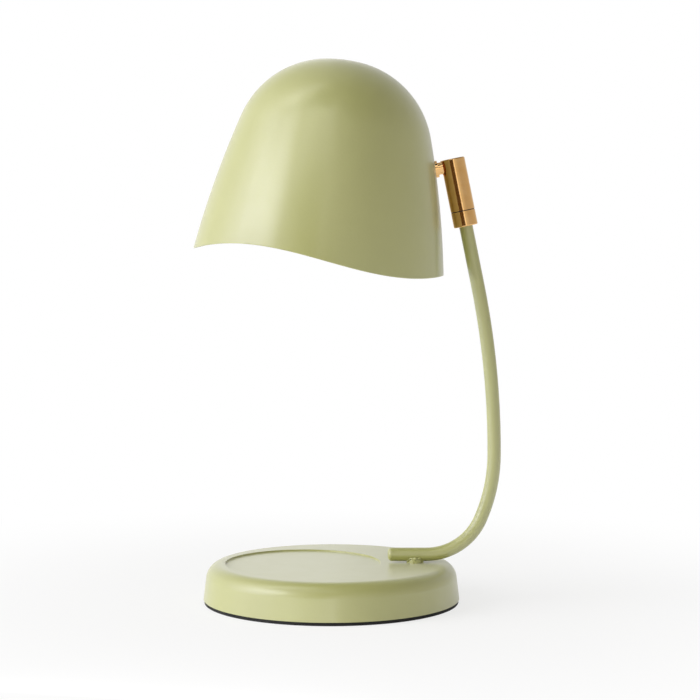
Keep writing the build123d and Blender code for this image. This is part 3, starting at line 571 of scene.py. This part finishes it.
def bulb_glass():
    """The bulb's front glass: a disc whose front face is pressed with rows of small pebbles.

    The front's level moves by the pebbles' height times the product of a raised cosine of x and
    one of y, and fades to flat towards the edge. The back face is flat.
    """
    around = np.linspace(0, 2 * np.pi, BULB_COLUMNS, endpoint=False)
    edge = BULB_RADIUS - GLASS_WALL - GLASS_GAP
    out = np.linspace(FRONT_HOLE, 1, FRONT_ROWS)
    back_in = np.linspace(1, BACK_HOLE, BACK_ROWS)
    radius = np.concatenate([out, back_in])[:, None] * edge + 0 * around
    along_x = 0.5 + 0.5 * np.cos(2 * np.pi * (radius * np.cos(around)) / PEBBLE_PITCH)
    along_y = 0.5 + 0.5 * np.cos(2 * np.pi * (radius * np.sin(around)) / PEBBLE_PITCH)
    pebbles = PEBBLE_HEIGHT * along_x * along_y
    fade = np.clip((1 - radius / edge) / PEBBLE_FADE, 0, 1)
    front = BULB_FACE + FRONT_RECESS + pebbles * fade
    level = BULB_FACE + LENS_THICKNESS - BACK_RECESS
    level = np.where(np.arange(len(radius))[:, None] < FRONT_ROWS, front, level)
    return skin("bulb_glass", on_shade_axis(radius, level, around))


dress(bulb_bowl(), mirror, "bulb", "reflector", "bulb_reflector")
dress(bulb_glass(), lens_glass, "bulb", "clear_glass", "bulb_lens")

# ---------------------------------------------------------------- welds under the arm

STUD_X = 49.7
BOSS_RADIUS = 4.4
BOSS_TOP = 25.8
FOOT_LEVEL = 27.8
TUBE_RADIUS = 4.0
BASE_TOP = 23.0

WELD_COLUMNS, WELD_ROWS = 180, 18       # round the boss, and round the bead
WELD_SINK = 0.1                         # of the bead's centre line into the boss
WELD_LUMPS = ((7, 0.28, 1), (12, 0.2, 2))  # waves round, share of the thickness, phases
WELD_WANDER = (5, 0.12)                 # waves round, millimetres
BEAD_LIFT = 0.15                        # of the lower bead's centre over the base


def weld_bead(name, level, thickness, phase):
    """A lumpy bead round the boss: a circle carried round it at a level for each angle.

    The circle's radius is the thickness times 1 + 0.28 sin(7 a + p) + 0.2 sin(12 a + 2 p), and
    its centre's distance from the boss's axis wanders by 0.12 sin(5 a + p) millimetres.
    """
    around = np.linspace(0, 2 * np.pi, WELD_COLUMNS, endpoint=False)
    section = np.linspace(0, 2 * np.pi, WELD_ROWS, endpoint=False)
    lumps = 1.0
    for waves, share, phases in WELD_LUMPS:
        lumps = lumps + share * np.sin(waves * around + phases * phase)
    lumps = thickness * lumps
    waves, wander = WELD_WANDER
    reach = BOSS_RADIUS - WELD_SINK + wander * np.sin(waves * around + phase)
    radius = reach[:, None] + lumps[:, None] * np.cos(section)
    height = level(around)[:, None] + lumps[:, None] * np.sin(section)
    x = STUD_X + radius * np.cos(around)[:, None]
    y = radius * np.sin(around)[:, None]
    return skin(name, np.stack([x, y, height], axis=-1)[:, ::-1], loop=True, sharp=180.0)


def tube_joint(around):
    """Where the boss's wall meets the tube's underside, or the boss's top beside the tube."""
    across = BOSS_RADIUS * np.sin(around)
    return np.minimum(BOSS_TOP, FOOT_LEVEL - np.sqrt(np.maximum(TUBE_RADIUS**2 - across**2, 0)))


def base_joint(around):
    """A level line just over the base's top."""
    return BASE_TOP + BEAD_LIFT + 0 * around


tube_weld = weld_bead("tube_weld", tube_joint, thickness=0.62, phase=0.7)
base_weld = weld_bead("base_weld", base_joint, thickness=0.6, phase=2.9)
dress(tube_weld, paint, "base", "powder_coat")
dress(base_weld, paint, "base", "powder_coat")

# ---------------------------------------------------------------- floor, light and camera

# The rest of the scene is in metres. Floor: size, level, colour, and how its own white glow grows
# with the distance from the lamp
FLOOR_SIZE = 6.0
FLOOR_LEVEL = -0.0002
FLOOR_WHITE = (0.88, 0.88, 0.88, 1.0)
GLOW_START, GLOW_END = 0.10, 0.40
GLOW_AT_LAMP = 0.74

CAMERA_PLACE = (0.011, -1.190, 0.229)
CAMERA_PITCH = 3.82
FRAME_PIXELS = 700
FOCAL_PIXELS = 2019
SENSOR = 36.0
FAR_CLIP = 20.0

# The room's brightness round the lamp: degrees from the camera's side towards the arm, level
ROOM_WALLS = [
    (-180, 1.07), (-110, 0.78), (-75, 6.5), (-55, 1.0), (-44, 0.05), (-3, 0.05),
    (1, 1.5), (4, 1.5), (9, 0.74), (45, 0.54), (110, 0.59), (150, 0.75),
]
WARM_SIDE = (0, 120)
ROOM_WARMTH = (1.03, 0.99, 0.90)

# The walls dim to the ceiling's share between two heights, each the sine of an angle
CEILING_START, CEILING_END = 0.2, 0.9
ROOM_CEILING = 0.4

# What gloss sees in place of the window wall on the left, and a dark flag near the brass:
# x of the arc's centre, reach, bottom, top, turns, glow
GLOSS_CARDS = {
    "flag": (0.075, 0.28, 0.155, 0.262, (-68, -4), (0.11, 0.065, 0.024)),
    "panel_back": (0.0, 1.6, -0.3, 2.0, (-125, -100), (0.70, 0.70, 0.70)),
    "panel_side": (0.0, 1.6, -0.3, 2.0, (-100, -80), (1.20, 1.20, 1.20)),
    "panel_dark": (0.0, 1.6, -0.3, 2.0, (-80, -62), (0.0, 0.0, 0.0)),
    "panel_front": (0.0, 1.6, -0.3, 2.0, (-62, -45), (1.20, 1.20, 1.20)),
    "panel_low": (0.0, 0.5, 0.05, 0.17, (-60, -25), (0.62, 0.62, 0.62)),
}
CARD_STEPS = 8
CARD_BLACK = (0.01, 0.01, 0.01, 1.0)

# Place, target, width, height, watts
SOFTBOXES = {
    "key": ((-1.04, -0.55, 0.55), (0, 0, 0.12), 0.8, 0.8, 5.03),
    "fill_low": ((-0.08, -0.25, 0.015), (-0.02, 0, 0.012), 0.20, 0.02, 0.034),
    "fill_high": ((-0.30, -1.0, 1.20), (0, 0, 0.10), 0.7, 0.6, 1.92),
}


def seen(tree, *kinds):
    """1 on rays of the given kinds, and 0 on the others."""
    paths = tree.nodes.new("ShaderNodeLightPath")
    total = None
    for kind in kinds:
        if total is None:
            total = paths.outputs[kind]
            continue
        larger = tree.nodes.new("ShaderNodeMath")
        larger.operation = "MAXIMUM"
        tree.links.new(total, larger.inputs[0])
        tree.links.new(paths.outputs[kind], larger.inputs[1])
        total = larger.outputs[0]
    return total


def floor_material():
    """White floor: it keeps the lamp's shadow near it, and is plain white further out.

    It is clear from below, so that the lamp's underside can be seen.
    """
    material = bpy.data.materials.new("floor_white")
    material.use_nodes = True
    tree = material.node_tree
    tree.nodes.clear()
    output = tree.nodes.new("ShaderNodeOutputMaterial")
    matt = tree.nodes.new("ShaderNodeBsdfDiffuse")
    matt.inputs["Color"].default_value = FLOOR_WHITE
    white = tree.nodes.new("ShaderNodeEmission")
    place = tree.nodes.new("ShaderNodeTexCoord")
    distance = tree.nodes.new("ShaderNodeVectorMath")
    distance.operation = "LENGTH"
    tree.links.new(place.outputs["Object"], distance.inputs[0])
    fade = tree.nodes.new("ShaderNodeMapRange")
    fade.interpolation_type = "SMOOTHSTEP"
    fade.inputs["From Min"].default_value = GLOW_START
    fade.inputs["From Max"].default_value = GLOW_END
    fade.inputs["To Min"].default_value = GLOW_AT_LAMP
    tree.links.new(distance.outputs["Value"], fade.inputs["Value"])
    share = tree.nodes.new("ShaderNodeMath")
    share.operation = "MULTIPLY"
    tree.links.new(fade.outputs[0], share.inputs[0])
    looking = seen(tree, "Is Camera Ray", "Is Glossy Ray", "Is Transmission Ray")
    tree.links.new(looking, share.inputs[1])
    mixed = tree.nodes.new("ShaderNodeMixShader")
    tree.links.new(share.outputs[0], mixed.inputs[0])
    tree.links.new(matt.outputs[0], mixed.inputs[1])
    tree.links.new(white.outputs[0], mixed.inputs[2])
    under = tree.nodes.new("ShaderNodeNewGeometry").outputs["Backfacing"]
    clear = tree.nodes.new("ShaderNodeBsdfTransparent")
    sided = tree.nodes.new("ShaderNodeMixShader")
    tree.links.new(under, sided.inputs[0])
    tree.links.new(mixed.outputs[0], sided.inputs[1])
    tree.links.new(clear.outputs[0], sided.inputs[2])
    tree.links.new(sided.outputs[0], output.inputs["Surface"])
    return material


def add_floor():
    """A flat square under the lamp."""
    half = FLOOR_SIZE / 2
    mesh = bpy.data.meshes.new("floor")
    sides = [(-half, -half), (half, -half), (half, half), (-half, half)]
    mesh.from_pydata([(*side, FLOOR_LEVEL) for side in sides], [], [(0, 1, 2, 3)])
    mesh.materials.append(floor_material())
    floor = bpy.data.objects.new("floor", mesh)
    bpy.context.scene.collection.objects.link(floor)


def add_world():
    """A studio room that lights the lamp and shows in its gloss.

    A bright window is on the left, the front is dim, and the wall behind the lamp is pale. The
    room is plain white to the camera and through glass.
    """
    world = bpy.data.worlds.new("studio")
    bpy.context.scene.world = world
    world.use_nodes = True
    tree = world.node_tree
    direction = tree.nodes.new("ShaderNodeTexCoord").outputs["Generated"]
    parts = tree.nodes.new("ShaderNodeSeparateXYZ")
    tree.links.new(direction, parts.inputs[0])
    forward = tree.nodes.new("ShaderNodeMath")
    forward.operation = "MULTIPLY"
    forward.inputs[1].default_value = -1.0
    tree.links.new(parts.outputs["Y"], forward.inputs[0])
    angle = tree.nodes.new("ShaderNodeMath")
    angle.operation = "ARCTAN2"
    tree.links.new(parts.outputs["X"], angle.inputs[0])
    tree.links.new(forward.outputs[0], angle.inputs[1])
    turn = tree.nodes.new("ShaderNodeMapRange")
    turn.inputs["From Min"].default_value = -math.pi
    turn.inputs["From Max"].default_value = math.pi
    tree.links.new(angle.outputs[0], turn.inputs["Value"])
    walls = tree.nodes.new("ShaderNodeValToRGB")
    walls.color_ramp.interpolation = "EASE"
    stops = walls.color_ramp.elements
    for azimuth, level in ROOM_WALLS:
        warm = WARM_SIDE[0] < azimuth < WARM_SIDE[1]
        stop = stops.new((azimuth + 180) / 360)
        stop.color = (*(level * (share if warm else 1.0) for share in ROOM_WARMTH), 1.0)
    stops.remove(stops[0])
    stops.remove(stops[len(stops) - 1])
    tree.links.new(turn.outputs[0], walls.inputs["Fac"])
    ceiling = tree.nodes.new("ShaderNodeMapRange")
    ceiling.interpolation_type = "SMOOTHSTEP"
    ceiling.inputs["From Min"].default_value = CEILING_START
    ceiling.inputs["From Max"].default_value = CEILING_END
    ceiling.inputs["To Min"].default_value = 1.0
    ceiling.inputs["To Max"].default_value = ROOM_CEILING
    tree.links.new(parts.outputs["Z"], ceiling.inputs["Value"])
    room = tree.nodes["Background"]
    tree.links.new(walls.outputs["Color"], room.inputs["Color"])
    tree.links.new(ceiling.outputs[0], room.inputs["Strength"])
    white = tree.nodes.new("ShaderNodeBackground")
    white.inputs["Color"].default_value = (1.0, 1.0, 1.0, 1.0)
    mixed = tree.nodes.new("ShaderNodeMixShader")
    tree.links.new(seen(tree, "Is Camera Ray", "Is Transmission Ray"), mixed.inputs[0])
    tree.links.new(room.outputs[0], mixed.inputs[1])
    tree.links.new(white.outputs[0], mixed.inputs[2])
    tree.links.new(mixed.outputs[0], tree.nodes["World Output"].inputs["Surface"])


def add_softbox(name, place, target, width, height, watts):
    """Rectangular light that faces a target and stays out of the camera's sight."""
    light = bpy.data.lights.new(name, "AREA")
    light.shape = "RECTANGLE"
    light.size, light.size_y, light.energy = width, height, watts
    box = bpy.data.objects.new(name, light)
    box.location = place
    box.rotation_euler = (Vector(target) - Vector(place)).to_track_quat("-Z", "Y").to_euler()
    box.visible_camera = False
    bpy.context.scene.collection.objects.link(box)


def add_card(name, side, reach, bottom, top, turns, glow):
    """Upright glowing card that only gloss sees, on an arc round a point beside the lamp's axis.

    The arc runs between two turns, in degrees from the camera's side towards the arm.
    """
    turns = np.radians(np.linspace(*turns, CARD_STEPS + 1))
    x, y = side + reach * np.sin(turns), -reach * np.cos(turns)
    edges = [np.stack([x, y, np.full(len(turns), level)], axis=-1) for level in (bottom, top)]
    lower = np.arange(CARD_STEPS)
    upper = lower + CARD_STEPS + 1
    faces = np.stack([lower, lower + 1, upper + 1, upper], axis=-1)
    mesh = bpy.data.meshes.new(name)
    mesh.from_pydata(np.vstack(edges).tolist(), [], faces.tolist())
    finish = Finish(
        name,
        Base_Color=CARD_BLACK,
        Specular_IOR_Level=0.0,
        Emission_Color=(*glow, 1.0),
        Emission_Strength=1.0,
    )
    mesh.materials.append(finish.material)
    card = bpy.data.objects.new(name, mesh)
    card.visible_camera = card.visible_diffuse = False
    card.visible_shadow = card.visible_transmission = False
    bpy.context.scene.collection.objects.link(card)


def add_camera():
    """Camera straight in front, a little under the shade's middle height, pitched down."""
    data = bpy.data.cameras.new("camera")
    data.sensor_width = SENSOR
    data.lens = SENSOR * FOCAL_PIXELS / FRAME_PIXELS
    data.clip_end = FAR_CLIP
    camera = bpy.data.objects.new("camera", data)
    camera.location = CAMERA_PLACE
    camera.rotation_euler = (math.radians(90 - CAMERA_PITCH), 0, 0)
    bpy.context.scene.collection.objects.link(camera)
    bpy.context.scene.camera = camera


add_floor()
add_world()
for name, layout in GLOSS_CARDS.items():
    add_card(name, *layout)
for name, layout in SOFTBOXES.items():
    add_softbox(name, *layout)
add_camera()
bpy.context.scene.view_settings.view_transform = "Standard"
